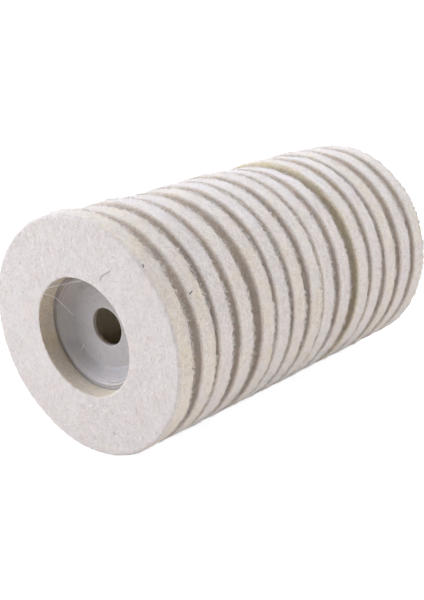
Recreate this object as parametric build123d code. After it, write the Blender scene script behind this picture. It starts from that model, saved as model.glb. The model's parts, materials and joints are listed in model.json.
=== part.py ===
from build123d import *
import os
from math import cos, radians, sin

# A stack of felt polishing wheels lying on its side on a table. Every wheel is a ring of
# compressed wool felt, glued on to the flange of a moulded plastic hub with a sunken centre.
# Millimetres. +Y runs along the stack from the front wheel to the rear one, +Z is up, and
# the origin is at table height under the middle of the stack.

# One wheel. Depths are measured back from the front face of its felt.
FELT_DIAMETER = 100.0
FELT_HOLE_DIAMETER = 50.0
FELT_THICKNESS = 8.2
GLUE_THICKNESS = 0.15
GLUE_MARGIN = 0.6  # the glue stops this far short of the flange's edge and the felt's hole
FLANGE_DIAMETER = 68.0
FLANGE_THICKNESS = 0.9
BORE_DIAMETER = 16.0
BEAD_DIAMETER = 46.2  # crest of the small moulded bead inside the felt's hole
BEAD_HEIGHT = 0.3
GROOVE_DIAMETER = 44.5  # bottom of the fine groove inside the bead
GROOVE_DEPTH = 0.35
CUP_MOUTH_DIAMETER = 43.6  # where the hub turns down into its cup
CUP_FLOOR_DIAMETER = 36.0  # the crease where the cup's wall meets its floor
CUP_FLOOR_DEPTH = 13.3  # at the crease
BORE_MOUTH_DEPTH = 13.65  # the floor sinks a little more towards the bore
FLOOR_THICKNESS = 2.0
CUP_BACK_MOUTH_DIAMETER = 46.6
CUP_BACK_FLOOR_DIAMETER = 36.2
CUP_MOUTH_SINK = 0.1  # the cup's mouth lies this far behind the flange's front
BEAD_FOOT_WIDTH = 0.5
EDGE_ROUNDING = 0.3  # flange's edge and bore's edges
FINE_ROUNDING = 0.15  # bead and groove
CUP_MOUTH_ROUNDING = 0.4
CUP_FLOOR_ROUNDING = 2.5  # the soft crease where the cup's wall meets its floor
CUP_BACK_MOUTH_ROUNDING = 0.5
CUP_BACK_FLOOR_ROUNDING = 1.2

# The stack. Each list runs from the front wheel to the rear one.
DIAMETER_SPREAD = [1, -0.5, 0.5, -0.5, -0.5, 0, 0, 0.5, 0, -1, 0.5, 0, 0.5, 0, -0.5]
GAPS = [5.5, 3, 5, 5.5, 2.75, 2.75, 3, 2.5, 4.25, 5.75, 3.5, 4.25, 5.5, 5.5]  # felt to felt
LEANS = [-3.5, -2.5, -0.5, -1, -0.5, 1, 0.5, 1, 2, 3, 1.5, 3.5, 0.5, 1, 1]  # degrees, top back
TURNS = [0.5, 1, -0.5, 0, 0.5, -0.5, 0, 0.5, -0.5, 0.5, 0, 0, -0.5, -0.5, -1]  # right side back
WHEEL_COUNT = len(LEANS)


def turned(corners):
    """Solid turned about the wheel's axis from (radius, depth, rounding) corners."""
    outline = Polyline(*[(radius, depth) for radius, depth, _ in corners], close=True)
    face = make_face(outline).face()
    for radius, depth, rounding in corners:
        if rounding:
            corner = face.vertices().sort_by_distance((radius, depth, 0))[0]
            face = face.fillet_2d(rounding, [corner])
    return revolve(face, Axis.Y, 360)


def felt_ring(diameter):
    """Flat ring of felt with its front face at depth 0."""
    outer = diameter / 2
    inner = FELT_HOLE_DIAMETER / 2
    return turned(
        [
            (inner, 0, 0),
            (outer, 0, 0),
            (outer, FELT_THICKNESS, 0),
            (inner, FELT_THICKNESS, 0),
        ]
    )


def glue_layer():
    """Thin ring of glue between the felt's back and the flange."""
    inner = FELT_HOLE_DIAMETER / 2 + GLUE_MARGIN
    outer = FLANGE_DIAMETER / 2 - GLUE_MARGIN
    back = FELT_THICKNESS + GLUE_THICKNESS
    return turned(
        [
            (inner, FELT_THICKNESS, 0),
            (outer, FELT_THICKNESS, 0),
            (outer, back, 0),
            (inner, back, 0),
        ]
    )


def hub():
    """Flange, bead, groove and cup of the moulded centre, in one piece."""
    flange = FLANGE_DIAMETER / 2
    flange_front = FELT_THICKNESS + GLUE_THICKNESS
    flange_back = flange_front + FLANGE_THICKNESS
    bead = BEAD_DIAMETER / 2
    groove_bottom = flange_front + GROOVE_DEPTH
    cup_mouth_depth = flange_front + CUP_MOUTH_SINK
    bore = BORE_DIAMETER / 2
    bore_back = BORE_MOUTH_DEPTH + FLOOR_THICKNESS
    front = [
        (flange, flange_front, EDGE_ROUNDING),
        (bead + BEAD_FOOT_WIDTH, flange_front, FINE_ROUNDING),
        (bead, flange_front - BEAD_HEIGHT, FINE_ROUNDING),
        (GROOVE_DIAMETER / 2, groove_bottom, FINE_ROUNDING),
        (CUP_MOUTH_DIAMETER / 2, cup_mouth_depth, CUP_MOUTH_ROUNDING),
        (CUP_FLOOR_DIAMETER / 2, CUP_FLOOR_DEPTH, CUP_FLOOR_ROUNDING),
        (bore, BORE_MOUTH_DEPTH, EDGE_ROUNDING),
    ]
    back = [
        (bore, bore_back, EDGE_ROUNDING),
        (CUP_BACK_FLOOR_DIAMETER / 2, bore_back, CUP_BACK_FLOOR_ROUNDING),
        (CUP_BACK_MOUTH_DIAMETER / 2, flange_back, CUP_BACK_MOUTH_ROUNDING),
        (flange, flange_back, EDGE_ROUNDING),
    ]
    return turned(front + back)


def wheel_places():
    """Each wheel's place as it stands on its rim, one gap behind the wheel in front of it."""
    places = []
    along = 0.0
    for index in range(WHEEL_COUNT):
        if index > 0:
            along += FELT_THICKNESS + GAPS[index - 1]
        lean = radians(LEANS[index])
        radius = (FELT_DIAMETER + DIAMETER_SPREAD[index]) / 2
        height = radius * cos(lean) + FELT_THICKNESS / 2 * abs(sin(lean))
        middle = Location((0, along, height), (-LEANS[index], 0, TURNS[index]))
        places.append(middle * Pos(0, -FELT_THICKNESS / 2, 0))
    return places


def build_nodes():
    """Every sub-part in its place in the stack, by name, over the origin."""
    one_hub = hub()
    one_glue_layer = glue_layer()
    nodes = {}
    for index, place in enumerate(wheel_places()):
        number = f"{index + 1:02d}"
        ring = felt_ring(FELT_DIAMETER + DIAMETER_SPREAD[index])
        nodes[f"felt_ring_{number}"] = place * ring
        nodes[f"glue_layer_{number}"] = place * one_glue_layer
        nodes[f"hub_{number}"] = place * one_hub
    return nodes


def stack_middle(nodes):
    """How far behind the front wheel's middle the whole stack's middle lies."""
    boxes = [node.bounding_box() for node in nodes.values()]
    front = min(box.min.Y for box in boxes)
    back = max(box.max.Y for box in boxes)
    return (front + back) / 2


def main():
    os.makedirs("parts", exist_ok=True)
    nodes = build_nodes()
    middle = stack_middle(nodes)
    for name, solid in nodes.items():
        export_step(Pos(0, -middle, 0) * solid, f"parts/{name}.step")


if __name__ == "__main__":
    main()
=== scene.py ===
import json
from math import pi, radians

import bpy
import numpy as np
from mathutils import Euler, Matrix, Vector

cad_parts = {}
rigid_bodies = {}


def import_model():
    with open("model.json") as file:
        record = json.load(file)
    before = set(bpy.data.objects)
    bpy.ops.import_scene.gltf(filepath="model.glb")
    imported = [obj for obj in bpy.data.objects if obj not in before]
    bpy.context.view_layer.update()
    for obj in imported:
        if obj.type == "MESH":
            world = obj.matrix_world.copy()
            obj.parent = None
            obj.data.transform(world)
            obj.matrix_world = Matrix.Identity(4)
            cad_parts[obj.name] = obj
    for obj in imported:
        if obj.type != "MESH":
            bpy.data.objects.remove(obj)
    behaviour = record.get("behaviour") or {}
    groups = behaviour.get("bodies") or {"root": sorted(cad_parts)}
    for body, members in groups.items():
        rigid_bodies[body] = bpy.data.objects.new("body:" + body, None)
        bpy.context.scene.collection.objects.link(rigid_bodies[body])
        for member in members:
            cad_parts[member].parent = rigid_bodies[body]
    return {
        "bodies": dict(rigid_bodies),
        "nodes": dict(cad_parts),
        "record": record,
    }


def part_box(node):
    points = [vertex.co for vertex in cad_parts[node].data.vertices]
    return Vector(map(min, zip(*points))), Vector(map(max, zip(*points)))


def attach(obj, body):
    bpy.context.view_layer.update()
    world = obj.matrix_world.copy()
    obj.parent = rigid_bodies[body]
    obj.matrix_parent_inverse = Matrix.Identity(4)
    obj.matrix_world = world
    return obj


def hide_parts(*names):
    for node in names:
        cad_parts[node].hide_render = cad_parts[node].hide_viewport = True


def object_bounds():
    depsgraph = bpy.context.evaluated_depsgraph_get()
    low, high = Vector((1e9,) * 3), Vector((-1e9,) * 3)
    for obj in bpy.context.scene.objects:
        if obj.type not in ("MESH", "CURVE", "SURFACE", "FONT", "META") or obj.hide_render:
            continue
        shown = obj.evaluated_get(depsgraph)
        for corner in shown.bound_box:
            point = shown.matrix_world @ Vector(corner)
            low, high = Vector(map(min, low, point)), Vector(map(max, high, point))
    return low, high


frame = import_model()
cad_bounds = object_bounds()
MM = 0.001
WHEELS = sorted(frame["bodies"])
MOUNTS = {mount["name"]: mount for mount in frame["record"]["mounts"]}

# Camera: the viewing angle, and the point it looks at, given from the middle of the stack.
AZIMUTH = radians(39.7)
ELEVATION = radians(19.0)
DISTANCE = 0.500
AIM_OFFSET = Vector((-0.0002, -0.0130, -0.0056))
LENS = 66.8

# Softboxes around the stack: name, azimuth and elevation in degrees, watts
SOFTBOXES = [
    ("front", -25, 8, 14),
    ("left_front", -50, 8, 15.5),
    ("left_front_high", -50, 35, 14),
    ("left_top", -50, 65, 14),
    ("left_high", -100, 35, 6),
    ("left_back", -140, 30, 13),
    ("back", 180, 20, 16),
    ("back_high", 180, 50, 16),
    ("right", 100, 8, 28),
    ("fill", 50, 8, 6),
]
SOFTBOX_SIZE = 0.9
SOFTBOX_DISTANCE = 2.0
STACK_MIDDLE = Vector((0, 0, 0.05))
FLOOR_SIZE = 20  # half a side
LIGHT_COLOUR = (0.90, 0.97, 1.18)

# Felt ring, in millimetres
FRONT_EDGE = 1.2  # radius of the soft outer edge at the front
BACK_EDGE = 0.25
HOLE_FRONT_EDGE = 0.5
HOLE_BACK_EDGE = 0.2
STEPS_AROUND = 600
FINE_STEP = 0.55  # size of the mesh's faces where the felt is seen
HIDDEN_STEP = 1.3
GLUED_RADIUS = 35.0  # the felt's back stays flat inside this, where the hub is glued on
FUZZ_PER_WHEEL = 2200
TUFTS_PER_WHEEL = 110
YELLOW_FACE_WHEEL = "11"  # the one wheel whose face is clearly yellower
BORE_SHADE_HUB_WHEEL = "02"  # its hub is tinted amber: painted warm shade for what is seen through the front hub's bore


# ---------------------------------------------------------------- camera, light and floor


def grey(value):
    return (value, value, value)


def add_camera():
    """The camera, at the photograph's viewing angle."""
    data = bpy.data.cameras.new("camera")
    camera = bpy.data.objects.new("camera", data)
    bpy.context.scene.collection.objects.link(camera)
    low, high = (Vector(corner) for corner in cad_bounds)
    forward = Vector((0, 1, 0))
    forward.rotate(Euler((-ELEVATION, 0, AZIMUTH)))
    camera.location = (low + high) / 2 + AIM_OFFSET - forward * DISTANCE
    camera.rotation_euler = (pi / 2 - ELEVATION, 0, AZIMUTH)
    data.lens = LENS
    data.sensor_width = 36
    data.clip_end = 50
    bpy.context.scene.camera = camera


def add_softbox(name, azimuth, elevation, power):
    """A square softbox that faces the stack from the given direction."""
    data = bpy.data.lights.new(name, "AREA")
    data.size = SOFTBOX_SIZE
    data.energy = power
    data.color = LIGHT_COLOUR
    light = bpy.data.objects.new(name, data)
    bpy.context.scene.collection.objects.link(light)
    towards = Vector((0, 1, 0))
    towards.rotate(Euler((-radians(elevation), 0, radians(azimuth))))
    light.location = STACK_MIDDLE - towards * SOFTBOX_DISTANCE
    light.rotation_euler = towards.to_track_quat("-Z", "Y").to_euler()


def add_world():
    """White surroundings, seen by the camera and giving no light."""
    world = bpy.data.worlds.new("studio")
    world.use_nodes = True
    background = world.node_tree.nodes["Background"]
    background.inputs["Color"].default_value = (1, 1, 1, 1)
    background.inputs["Strength"].default_value = 1
    world.cycles_visibility.diffuse = False
    world.cycles_visibility.glossy = False
    world.cycles_visibility.transmission = False
    bpy.context.scene.world = world


def add_plane(name, height):
    """A large plain sheet of the stage."""
    size = FLOOR_SIZE
    mesh = bpy.data.meshes.new(name)
    corners = [
        (-size, -size, height),
        (size, -size, height),
        (size, size, height),
        (-size, size, height),
    ]
    mesh.from_pydata(corners, [], [(0, 1, 2, 3)])
    plane = bpy.data.objects.new(name, mesh)
    bpy.context.scene.collection.objects.link(plane)
    return plane


def add_floor():
    """Pale table: one sheet that the camera sees, and one that throws light back on the stack."""
    seen = add_plane("floor", 0)
    nodes = Nodes("floor")
    distance = nodes.add("ShaderNodeVectorMath", operation="LENGTH")
    nodes.link(nodes.coordinates, distance, "Vector")
    glow = nodes.ramp(distance.outputs["Value"], [(0.15, grey(0.84)), (0.5, grey(1))])
    nodes.link(glow, nodes.shader, "Emission Color")
    nodes.shader.inputs["Emission Strength"].default_value = 1
    nodes.shader.inputs["Base Color"].default_value = (0.6, 0.6, 0.6, 1)
    nodes.shader.inputs["Roughness"].default_value = 1
    nodes.shader.inputs["Specular IOR Level"].default_value = 0
    seen.data.materials.append(nodes.material)
    seen.visible_diffuse = False
    seen.visible_glossy = False
    seen.visible_shadow = False
    bounce = add_plane("floor_bounce", -0.0005)
    nodes = Nodes("floor_bounce")
    nodes.shader.inputs["Base Color"].default_value = (0.66, 0.61, 0.54, 1)
    nodes.shader.inputs["Roughness"].default_value = 1
    nodes.shader.inputs["Specular IOR Level"].default_value = 0
    bounce.data.materials.append(nodes.material)
    bounce.visible_camera = False


# ---------------------------------------------------------------- materials


class Nodes:
    """Short way to add linked shader nodes to a material."""

    def __init__(self, name):
        self.material = bpy.data.materials.new(name)
        self.material.use_nodes = True
        self.tree = self.material.node_tree
        self.shader = self.tree.nodes["Principled BSDF"]
        self.coordinates = self.add("ShaderNodeTexCoord").outputs["Object"]

    def add(self, kind, **settings):
        node = self.tree.nodes.new(kind)
        for name, value in settings.items():
            setattr(node, name, value)
        return node

    def link(self, output, node, name):
        self.tree.links.new(output, node.inputs[name])

    def noise(self, scale, detail=3.0, roughness=0.6, distortion=0.0, stretch=None, turn=None):
        """Noise with scale in cycles a metre, optionally stretched and turned."""
        node = self.add("ShaderNodeTexNoise")
        node.inputs["Scale"].default_value = scale
        node.inputs["Detail"].default_value = detail
        node.inputs["Roughness"].default_value = roughness
        node.inputs["Distortion"].default_value = distortion
        source = self.coordinates
        if stretch or turn:
            mapping = self.add("ShaderNodeMapping")
            mapping.inputs["Scale"].default_value = stretch or (1, 1, 1)
            mapping.inputs["Rotation"].default_value = turn or (0, 0, 0)
            self.link(source, mapping, "Vector")
            source = mapping.outputs["Vector"]
        self.link(source, node, "Vector")
        return node.outputs["Fac"]

    def ramp(self, value, stops):
        """Colour ramp over value from (position, colour) stops."""
        node = self.add("ShaderNodeValToRGB")
        elements = node.color_ramp.elements
        while len(elements) < len(stops):
            elements.new(0.5)
        for element, (position, colour) in zip(elements, stops):
            element.position = position
            element.color = (*colour, 1)
        self.link(value, node, "Fac")
        return node.outputs["Color"]

    def mix(self, factor, first, second, blend="MIX"):
        """Mix of two colours; each input is an output socket or a constant."""
        node = self.add("ShaderNodeMix", data_type="RGBA", blend_type=blend)
        for value, index in ((factor, 0), (first, 6), (second, 7)):
            if isinstance(value, bpy.types.NodeSocket):
                self.tree.links.new(value, node.inputs[index])
            elif index == 0:
                node.inputs[index].default_value = value
            else:
                node.inputs[index].default_value = (*value, 1)
        return node.outputs[2]

    def math(self, operation, first, second):
        node = self.add("ShaderNodeMath", operation=operation)
        for value, index in ((first, 0), (second, 1)):
            if isinstance(value, bpy.types.NodeSocket):
                self.tree.links.new(value, node.inputs[index])
            else:
                node.inputs[index].default_value = value
        return node.outputs["Value"]

    def bump(self, height, strength, distance, normal=None):
        node = self.add("ShaderNodeBump")
        node.inputs["Strength"].default_value = strength
        node.inputs["Distance"].default_value = distance
        self.link(height, node, "Height")
        if normal:
            self.link(normal, node, "Normal")
        return node.outputs["Normal"]


def strands(nodes, scale, stretch, turn, width=0.07):
    """Thin curved lines, light where a fibre lies: 1 on the line and 0 off it."""
    field = nodes.noise(scale, detail=1.0, roughness=0.5, distortion=1.2, stretch=stretch, turn=turn)
    off = nodes.math("ABSOLUTE", nodes.math("SUBTRACT", field, 0.5), 0)
    line_height = nodes.math("SUBTRACT", 1, nodes.math("DIVIDE", off, width))
    return nodes.math("MAXIMUM", line_height, 0)


def felt_material(name, tint, warmth, contrast):
    """Compressed wool: matted fibres, faint warm patches and a few dark specks, with painted shade
    in the grain's pits and between fibres and painted light on the raised grain and fibres.
    """
    nodes = Nodes(name)
    shader = nodes.shader
    grain = nodes.noise(650, detail=3, roughness=0.7, distortion=1.0)
    long_fibres = strands(nodes, 300, (1, 0.6, 1), (0.4, 0.3, 0.7))
    fibre = nodes.math("ADD", long_fibres, strands(nodes, 420, (0.6, 1, 0.6), (0.9, 1.5, 0.2)))
    fibre = nodes.math("ADD", fibre, strands(nodes, 560, (1, 1, 0.5), (0.1, 0.8, 1.9)))
    warm = (tint[0], tint[1] * 0.985, tint[2] * (1 - 0.22 * warmth))
    base = nodes.ramp(nodes.noise(110, detail=3), [(0.42, tint), (0.66, warm)])
    # Darker where the grain is low and lighter where it is high, following the grain bump: partly
    # the felt's mottled tone, partly painted shade in the pits and painted light on the raised
    # grain.
    shade = (1 - 0.14 * contrast, 1 - 0.17 * contrast, 1 - 0.21 * contrast)
    light = grey(1 + 0.03 * contrast)
    mottle_and_pit_shade = nodes.ramp(grain, [(0.32, shade), (0.5, (0.995, 0.99, 0.985)), (0.7, light)])
    colour = nodes.mix(1.0, base, mottle_and_pit_shade, "MULTIPLY")
    # Darker between fibres and lighter on them, following the fibre bump: partly the fibres' own
    # tone, partly painted shade in the hollows and painted light on the raised fibres.
    hollow_shade = (1 - 0.05 * contrast, 1 - 0.055 * contrast, 1 - 0.065 * contrast)
    lines = nodes.ramp(fibre, [(0.0, hollow_shade), (0.5, grey(1)), (1.0, grey(1.05))])
    colour = nodes.mix(1.0, colour, lines, "MULTIPLY")
    threads = strands(nodes, 260, (1, 0.4, 0.7), (1.3, 0.2, 1.1), width=0.02)
    colour = nodes.mix(nodes.math("MULTIPLY", threads, 0.14 * contrast), colour, (0.36, 0.29, 0.22))
    patches = nodes.noise(210, detail=2)
    clouds = nodes.ramp(patches, [(0.3, (0.98, 0.977, 0.973)), (0.7, grey(1.015))])
    colour = nodes.mix(1.0, colour, clouds, "MULTIPLY")
    specks = nodes.ramp(nodes.noise(300, detail=1), [(0.17, (0.45, 0.4, 0.36)), (0.2, grey(1))])
    colour = nodes.mix(0.5, colour, specks, "MULTIPLY")
    nodes.link(colour, shader, "Base Color")
    rough = nodes.ramp(grain, [(0.3, grey(0.85)), (0.7, grey(1))])
    nodes.link(rough, shader, "Roughness")
    shader.inputs["Specular IOR Level"].default_value = 0.15
    shader.inputs["Sheen Weight"].default_value = 0.2
    shader.inputs["Sheen Roughness"].default_value = 0.6
    shader.inputs["Subsurface Weight"].default_value = 0.3
    shader.inputs["Subsurface Radius"].default_value = (1.0, 0.65, 0.4)
    shader.inputs["Subsurface Scale"].default_value = 0.0012
    coarse = nodes.bump(grain, 0.3 + 0.15 * contrast, 0.0004)
    nodes.link(nodes.bump(fibre, 0.4, 0.0002, coarse), shader, "Normal")
    return nodes.material


def fibre_material(name, low, high):
    """Loose wool fibres."""
    nodes = Nodes(name)
    streaks = nodes.noise(500, detail=2)
    colour = nodes.ramp(streaks, [(0.3, low), (0.7, high)])
    nodes.link(colour, nodes.shader, "Base Color")
    nodes.link(nodes.ramp(streaks, [(0, grey(0.6)), (1, grey(0.9))]), nodes.shader, "Roughness")
    nodes.shader.inputs["Specular IOR Level"].default_value = 0.25
    nodes.shader.inputs["Subsurface Weight"].default_value = 0.1
    nodes.shader.inputs["Subsurface Scale"].default_value = 0.0005
    return nodes.material


def dark_fibre_material():
    """Coarse dark hairs and chips of burr that come with the wool."""
    nodes = Nodes("dark_fibre")
    streaks = nodes.noise(900, detail=2)
    colour = nodes.ramp(streaks, [(0.3, (0.09, 0.075, 0.06)), (0.7, (0.2, 0.17, 0.14))])
    nodes.link(colour, nodes.shader, "Base Color")
    nodes.link(nodes.ramp(streaks, [(0, grey(0.4)), (1, grey(0.7))]), nodes.shader, "Roughness")
    return nodes.material


def hub_material(name, low, high):
    """Natural nylon moulding: milky, satin, lightly scuffed inside the cup."""
    nodes = Nodes(name)
    shader = nodes.shader
    flow = nodes.noise(45, detail=2, distortion=1.0)
    scuffs = nodes.noise(420, detail=5, roughness=0.75, distortion=1.2)
    nodes.link(nodes.ramp(flow, [(0.3, low), (0.7, high)]), shader, "Base Color")
    rough = nodes.ramp(scuffs, [(0.35, grey(0.2)), (0.65, grey(0.5))])
    nodes.link(rough, shader, "Roughness")
    shader.inputs["Specular IOR Level"].default_value = 0.5
    shader.inputs["Subsurface Weight"].default_value = 0.8
    shader.inputs["Subsurface Radius"].default_value = (1.0, 0.85, 0.6)
    shader.inputs["Subsurface Scale"].default_value = 0.0035
    nodes.link(nodes.bump(scuffs, 0.7, 0.0005), shader, "Normal")
    return nodes.material


def glue_material():
    """Thin cured glue, amber and slightly cloudy."""
    nodes = Nodes("cured_glue")
    cloud = nodes.noise(300, detail=3)
    colour = nodes.ramp(cloud, [(0.3, (0.55, 0.45, 0.28)), (0.7, (0.7, 0.62, 0.45))])
    nodes.link(colour, nodes.shader, "Base Color")
    nodes.link(nodes.ramp(cloud, [(0, grey(0.3)), (1, grey(0.6))]), nodes.shader, "Roughness")
    return nodes.material


# ---------------------------------------------------------------- felt rings


class Wheel:
    """Where one wheel stands, read from its CAD ring and its bore."""

    def __init__(self, body):
        number = body[-2:]
        self.body = body
        self.number = number
        self.ring = f"felt_ring_{number}"
        self.hub = f"hub_{number}"
        self.glue = f"glue_layer_{number}"
        low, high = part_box(self.ring)
        self.centre = np.array((low + high) / 2)
        self.back = -np.array(MOUNTS[f"bore_{number}"]["axis"], float)
        self.back /= np.linalg.norm(self.back)
        self.right = np.cross(self.back, (0, 0, 1))
        self.right /= np.linalg.norm(self.right)
        self.up = np.cross(self.right, self.back)
        points = np.array([v.co for v in frame["nodes"][self.ring].data.vertices]) - self.centre
        depth = points @ self.back
        radius = np.linalg.norm(points - np.outer(depth, self.back), axis=1)
        self.thickness = (depth.max() - depth.min()) / MM
        self.outer = radius.max() / MM
        self.inner = radius.min() / MM

    def place(self, radius, angle, depth):
        """Points in the row frame, from polar places in millimetres behind the felt's front."""
        across = (radius * np.cos(angle))[..., None] * self.right
        along = (radius * np.sin(angle))[..., None] * self.up
        deep = (depth - self.thickness / 2)[..., None] * self.back
        return self.centre + MM * (across + along + deep)


class Waves:
    """Smooth random height over space: many plane waves of about one wavelength."""

    def __init__(self, rng, wavelength, count=28):
        directions = rng.normal(size=(count, 3))
        directions /= np.linalg.norm(directions, axis=1)[:, None]
        lengths = wavelength * rng.uniform(0.7, 1.4, count)
        self.waves = directions * (2 * pi / lengths)[:, None]
        self.phases = rng.uniform(0, 2 * pi, count)
        self.scale = (2 / count) ** 0.5

    def __call__(self, points):
        return self.scale * np.cos(points @ self.waves.T + self.phases).sum(-1)


def arc(centre, radius, start, end, count):
    """Points of an arc in the section, without its last one."""
    angles = np.linspace(start, end, count, endpoint=False)
    return [(centre[0] + radius * np.cos(a), centre[1] + radius * np.sin(a)) for a in angles]


def line(start, end, step):
    """Evenly spaced points of a straight stretch, about a step apart, without the last one."""
    start, end = np.array(start), np.array(end)
    count = int(np.ceil(np.linalg.norm(end - start) / step))
    steps = np.linspace(0, 1, count, endpoint=False)[:, None]
    return [tuple(point) for point in start + steps * (end - start)]


def felt_section(wheel):
    """Section of the ring as (radius, depth), front face first and the hole's wall last."""
    inner, outer, thick = wheel.inner, wheel.outer, wheel.thickness
    front, back = FRONT_EDGE, BACK_EDGE
    hole_front, hole_back = HOLE_FRONT_EDGE, HOLE_BACK_EDGE
    points = line((inner + hole_front, 0), (outer - front, 0), FINE_STEP)
    points += arc((outer - front, front), front, -pi / 2, 0, 5)
    points += line((outer, front), (outer, thick - back), FINE_STEP)
    points += arc((outer - back, thick - back), back, 0, pi / 2, 3)
    points += line((outer - back, thick), (inner + hole_back, thick), HIDDEN_STEP)
    points += arc((inner + hole_back, thick - hole_back), hole_back, pi / 2, pi, 2)
    points += line((inner, thick - hole_back), (inner, hole_front), FINE_STEP)
    points += arc((inner + hole_front, hole_front), hole_front, pi, 3 * pi / 2, 3)
    return np.array(points)


def section_normals(section):
    """Outward normals of the closed section."""
    along = np.roll(section, -1, 0) - np.roll(section, 1, 0)
    normals = np.stack([along[:, 1], -along[:, 0]], 1)
    return normals / np.linalg.norm(normals, axis=1)[:, None]


def felt_relief(wheel, radius, depth, points, rng):
    """Height of the felt's surface along its normal, in millimetres."""
    relief = 0.07 * Waves(rng, 26)(points)
    relief += 0.035 * Waves(rng, 5.5)(points)
    relief += 0.022 * Waves(rng, 1.7, 40)(points)
    cut_edge = np.hypot(radius - wheel.outer, depth - wheel.thickness)
    relief += 0.2 * np.exp(-((cut_edge / 0.8) ** 2)) * Waves(rng, 1.6, 40)(points)
    at_back = np.clip((depth - wheel.thickness + 1.5) / 1.5, 0, 1)
    glued = np.clip((GLUED_RADIUS + 2 - radius) / 2, 0, 1)
    return relief * (1 - at_back * glued)


def felt_mesh(wheel, rng):
    """The ring as a closed grid of quads, section by section."""
    section = felt_section(wheel)
    normals = section_normals(section)
    angles = np.linspace(0, 2 * pi, STEPS_AROUND, endpoint=False)
    radius = np.repeat(section[None, :, 0], STEPS_AROUND, 0)
    depth = np.repeat(section[None, :, 1], STEPS_AROUND, 0)
    angle = np.repeat(angles[:, None], len(section), 1)
    local = np.stack([radius * np.cos(angle), radius * np.sin(angle), depth], -1)
    relief = felt_relief(wheel, radius, depth, local, rng)
    radius = radius + relief * normals[None, :, 0]
    depth = depth + relief * normals[None, :, 1]
    vertices = wheel.place(radius, angle, depth).reshape(-1, 3)
    rows, columns = STEPS_AROUND, len(section)
    row, column = np.meshgrid(np.arange(rows), np.arange(columns), indexing="ij")
    next_row, next_column = (row + 1) % rows, (column + 1) % columns
    faces = np.stack(
        [
            row * columns + column,
            row * columns + next_column,
            next_row * columns + next_column,
            next_row * columns + column,
        ],
        -1,
    ).reshape(-1, 4)
    ring = new_mesh(f"felt_{wheel.number}", vertices.tolist(), faces.tolist())
    is_cut = (section[:, 0] > wheel.outer - 0.1) & (section[:, 1] > FRONT_EDGE / 2)
    is_cut |= section[:, 0] < wheel.inner + HOLE_FRONT_EDGE / 2
    ring.data.polygons.foreach_set("material_index", np.tile(is_cut, STEPS_AROUND).astype(np.int32))
    return ring


def new_mesh(name, vertices, faces, material=None):
    """A smooth-shaded object in the scene."""
    mesh = bpy.data.meshes.new(name)
    mesh.from_pydata(vertices, [], faces)
    mesh.shade_smooth()
    mesh.update()
    if material:
        mesh.materials.append(material)
    thing = bpy.data.objects.new(name, mesh)
    bpy.context.scene.collection.objects.link(thing)
    return thing


# ---------------------------------------------------------------- loose fibres


def tubes(paths, radii, sides=3):
    """Vertices and faces of closed thin tubes; paths is (fibres, points, 3) in metres."""
    count, steps, _ = paths.shape
    tangents = np.gradient(paths, axis=1)
    tangents /= np.linalg.norm(tangents, axis=2, keepdims=True) + 1e-12
    helper = np.where(np.abs(tangents[..., 2:3]) < 0.8, [[[0.0, 0, 1]]], [[[1.0, 0, 0]]])
    side = np.cross(tangents, helper)
    side /= np.linalg.norm(side, axis=2, keepdims=True)
    other = np.cross(tangents, side)
    turns = np.linspace(0, 2 * pi, sides, endpoint=False)
    ring = side[:, :, None] * np.cos(turns)[:, None] + other[:, :, None] * np.sin(turns)[:, None]
    vertices = (paths[:, :, None] + ring * radii[:, None, None, None]).reshape(-1, 3)
    faces = []
    for fibre in range(count):
        first = fibre * steps * sides
        for step in range(steps - 1):
            low = first + step * sides
            for k in range(sides):
                after = (k + 1) % sides
                faces.append((low + k, low + after, low + sides + after, low + sides + k))
        faces.append(tuple(first + k for k in reversed(range(sides))))
        faces.append(tuple(first + (steps - 1) * sides + k for k in range(sides)))
    return vertices, faces


def fuzz_paths(wheel, rng, count):
    """Curled fibres on the ring's surface; many stand out in tufts along its cut back edge."""
    section = felt_section(wheel)
    normals = section_normals(section)
    from_edge = np.hypot(section[:, 0] - wheel.outer, section[:, 1] - wheel.thickness)
    crowd = 0.2 + 10 * np.exp(-((from_edge / 0.6) ** 2)) + 0.8 * (section[:, 0] > wheel.outer - 2.5)
    where = rng.choice(len(section), count, p=crowd / crowd.sum())
    at_edge = from_edge[where] < 1.2
    tufts = rng.uniform(0, 2 * pi, TUFTS_PER_WHEEL)
    in_tuft = rng.random(count) < 0.5
    tufted = rng.choice(tufts, count) + rng.normal(0, 0.012, count)
    angle = np.where(in_tuft, tufted, rng.uniform(0, 2 * pi, count))
    length = rng.uniform(0.9, 3.0, count)
    heading = np.where(at_edge, rng.normal(0, 0.9, count), rng.uniform(0, 2 * pi, count))
    curl = rng.normal(0, 1.5, count)
    lift = np.abs(rng.normal(0, 1, count)) * np.where(at_edge, 0.3, 0.12)
    t = np.linspace(0, 1, 6)
    bend = heading[:, None] + curl[:, None] * (t - 0.5)
    along = np.cumsum(np.cos(bend), 1) / len(t) * length[:, None]
    around = np.cumsum(np.sin(bend), 1) / len(t) * length[:, None]
    along -= along[:, 3:4] * at_edge[:, None] * rng.uniform(0, 1, count)[:, None]
    normal = normals[where]
    tangent = np.where(at_edge[:, None], [[0.0, 1.0]], np.stack([-normal[:, 1], normal[:, 0]], 1))
    height = lift[:, None] * np.sin(pi * t) + 0.02
    radius = section[where, 0][:, None] + along * tangent[:, :1] + height * normal[:, :1]
    depth = section[where, 1][:, None] + along * tangent[:, 1:] + height * normal[:, 1:]
    turned = angle[:, None] + around / np.maximum(section[where, 0][:, None], 1)
    paths = wheel.place(radius, turned, depth)
    radii = rng.uniform(0.03, 0.06, count) + 0.03 * at_edge
    above_table = paths[..., 2].min(1) > 0.1 * MM
    return paths[above_table], radii[above_table] * MM


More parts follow.
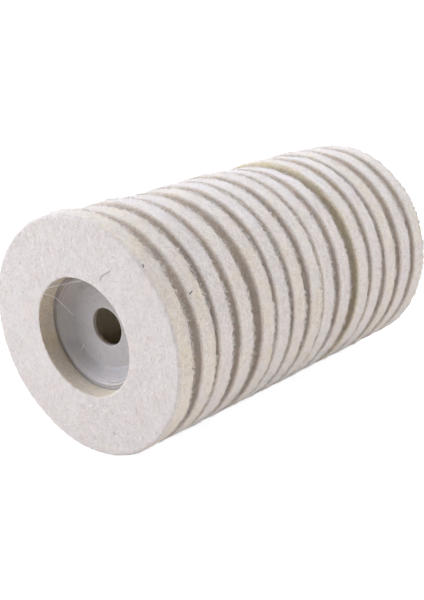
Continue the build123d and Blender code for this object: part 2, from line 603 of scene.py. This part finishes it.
def add_felt_piece(thing, wheel):
    """Let the piece ride with its wheel."""
    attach(thing, wheel.body)


def add_fuzz(wheel, rng, material):
    paths, radii = fuzz_paths(wheel, rng, FUZZ_PER_WHEEL)
    vertices, faces = tubes(paths, radii)
    fuzz = new_mesh(f"fuzz_{wheel.number}", vertices.tolist(), faces, material)
    add_felt_piece(fuzz, wheel)


# ---------------------------------------------------------------- putting it together


def smooth_path(points, steps=14):
    """Points along a soft curve through the given ones (Catmull-Rom)."""
    points = np.array(points, float)
    ends = np.vstack([2 * points[0] - points[1], points, 2 * points[-1] - points[-2]])
    path = []
    for before, start, end, after in zip(ends, ends[1:], ends[2:], ends[3:]):
        for t in np.linspace(0, 1, steps, endpoint=False):
            bend = 2 * start + (end - before) * t
            bend += (2 * before - 5 * start + 4 * end - after) * t**2
            bend += (3 * start - 3 * end + after - before) * t**3
            path.append(bend / 2)
    return np.array(path + [points[-1]])


def in_wheel(wheel, points):
    """Row-frame places of points given as right, back and up of the front face's middle."""
    right, back, up = (np.array(points) * MM).T
    front = wheel.centre - wheel.back * wheel.thickness / 2 * MM
    return front + np.outer(right, wheel.right) + np.outer(back, wheel.back) + np.outer(up, wheel.up)


def on_rim(wheel, angle, depth, length, slant):
    """A short stretch lying on the rim at an angle in degrees, along the axis and slanting."""
    reach = np.linspace(-0.5, 0.5, 4) * length
    angles = radians(angle) + reach * np.sin(radians(slant)) / wheel.outer
    depths = depth + reach * np.cos(radians(slant))
    radius = np.full(4, wheel.outer + 0.1)
    return wheel.place(radius, angles, depths)


def add_strands(name, wheel, paths, radius, material):
    """One piece made of separate thin fibres, each with closed ends."""
    vertices, faces = [], []
    for path in paths:
        points, quads = tubes(path[None], np.array([radius * MM]), sides=6)
        faces += [tuple(i + len(vertices) for i in face) for face in quads]
        vertices += points.tolist()
    strand = new_mesh(name, vertices, faces, material)
    add_felt_piece(strand, wheel)


# Loose fibres and hairs on the front wheel: millimetres right, back and up of its face's middle.
PALE_FIBRES = [
    [(-19.6, -0.2, 16.6), (-17.5, 0.2, 17.5), (-12.5, 2, 19.2), (-6.5, 3.4, 21.2), (-1, 3.2, 23)],
    [(-20.6, -0.2, 14.6), (-19.1, 0.2, 14.2), (-16.8, 2, 13.2), (-13, 3, 10.3), (-8.7, 4, 6.5)],
    [(-13.1, 12.6, -10.5), (-13.6, 12.1, -11.8), (-14.0, 11.6, -13.0)],
]
DARK_HAIRS = [
    [(12.5, -0.1, 27.2), (13.2, -0.2, 28.6), (14.9, -0.2, 29.9), (18.3, -0.1, 32.0)],
    [(13.2, -0.1, -38.0), (13.9, -0.2, -38.5), (14.4, -0.1, -38.2)],
]
# Dark chips in the rims: wheel, angle in degrees, depth, length and slant
CHIPS = [("01", 47, 1.0, 1.3, 60), ("01", -3, 7.6, 0.9, 20), ("02", 30, 2.2, 2.0, 15)]


def add_loose_fibres(wheels, pale, dark):
    front = wheels["01"]
    paths = [in_wheel(front, smooth_path(points)) for points in PALE_FIBRES]
    add_strands("stray_fibres_01", front, paths, 0.075, pale)
    paths = [in_wheel(front, smooth_path(points)) for points in DARK_HAIRS]
    add_strands("dark_hairs_01", front, paths, 0.07, dark)
    for number in sorted({chip[0] for chip in CHIPS}):
        chips = [on_rim(wheels[number], *chip[1:]) for chip in CHIPS if chip[0] == number]
        add_strands(f"burr_chips_{number}", wheels[number], chips, 0.24, dark)


# Which of the cut materials, cool to cream, each wheel's rim has, front wheel first
RIM_WARMTH = [3, 2, 0, 1, 2, 0, 1, 1, 0, 0, 1, 0, 2, 0, 1]


def build_wheels():
    front_face = felt_material("felt_face", (0.705, 0.632, 0.545), 0.1, 0.85)
    # Faces of the wheels behind the front one (other than 11), seen only in the gaps between rims: a
    # warmer, browner tint than the front face, painted warm shade of the gaps.
    gap_shade_face = felt_material("felt_face_gap_shade", (0.705, 0.612, 0.50), 0.3, 1.1)
    yellow_face = felt_material("felt_face_yellow", (0.715, 0.62, 0.45), 0.6, 1.2)
    special_faces = {"01": front_face, YELLOW_FACE_WHEEL: yellow_face}
    cuts = [
        felt_material("felt_cut_cool", (0.712, 0.628, 0.525), 0.3, 0.95),
        felt_material("felt_cut", (0.712, 0.624, 0.51), 0.4, 0.95),
        felt_material("felt_cut_warm", (0.71, 0.618, 0.495), 0.5, 0.95),
        felt_material("felt_cut_cream", (0.705, 0.61, 0.48), 0.6, 0.95),
    ]
    fibre = fibre_material("wool_fibre", (0.72, 0.63, 0.52), (0.84, 0.77, 0.67))
    stray = fibre_material("stray_wool", (0.90, 0.87, 0.82), (0.96, 0.94, 0.91))
    natural = hub_material("natural_nylon", (0.445, 0.405, 0.36), (0.485, 0.44, 0.395))
    # Amber copy of the nylon for one hub: painted warm shade seen down the front hub's bore.
    bore_shade_nylon = hub_material("nylon_painted_bore_shade", (0.68, 0.56, 0.36), (0.73, 0.61, 0.40))
    glue = glue_material()
    wheels = {}
    for index, body in enumerate(WHEELS):
        wheel = Wheel(body)
        wheels[wheel.number] = wheel
        rng = np.random.default_rng(100 + index)
        ring = felt_mesh(wheel, rng)
        face = special_faces.get(wheel.number, gap_shade_face)
        ring.data.materials.append(face)
        ring.data.materials.append(cuts[RIM_WARMTH[index]])
        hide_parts(wheel.ring)
        add_felt_piece(ring, wheel)
        add_fuzz(wheel, rng, fibre)
        nylon = bore_shade_nylon if wheel.number == BORE_SHADE_HUB_WHEEL else natural
        for node, material in ((wheel.hub, nylon), (wheel.glue, glue)):
            for material_slot in frame["nodes"][node].material_slots:
                material_slot.material = material
    add_loose_fibres(wheels, stray, dark_fibre_material())


bpy.context.scene.view_settings.view_transform = "Standard"
add_camera()
add_world()
for softbox in SOFTBOXES:
    add_softbox(*softbox)
add_floor()
build_wheels()
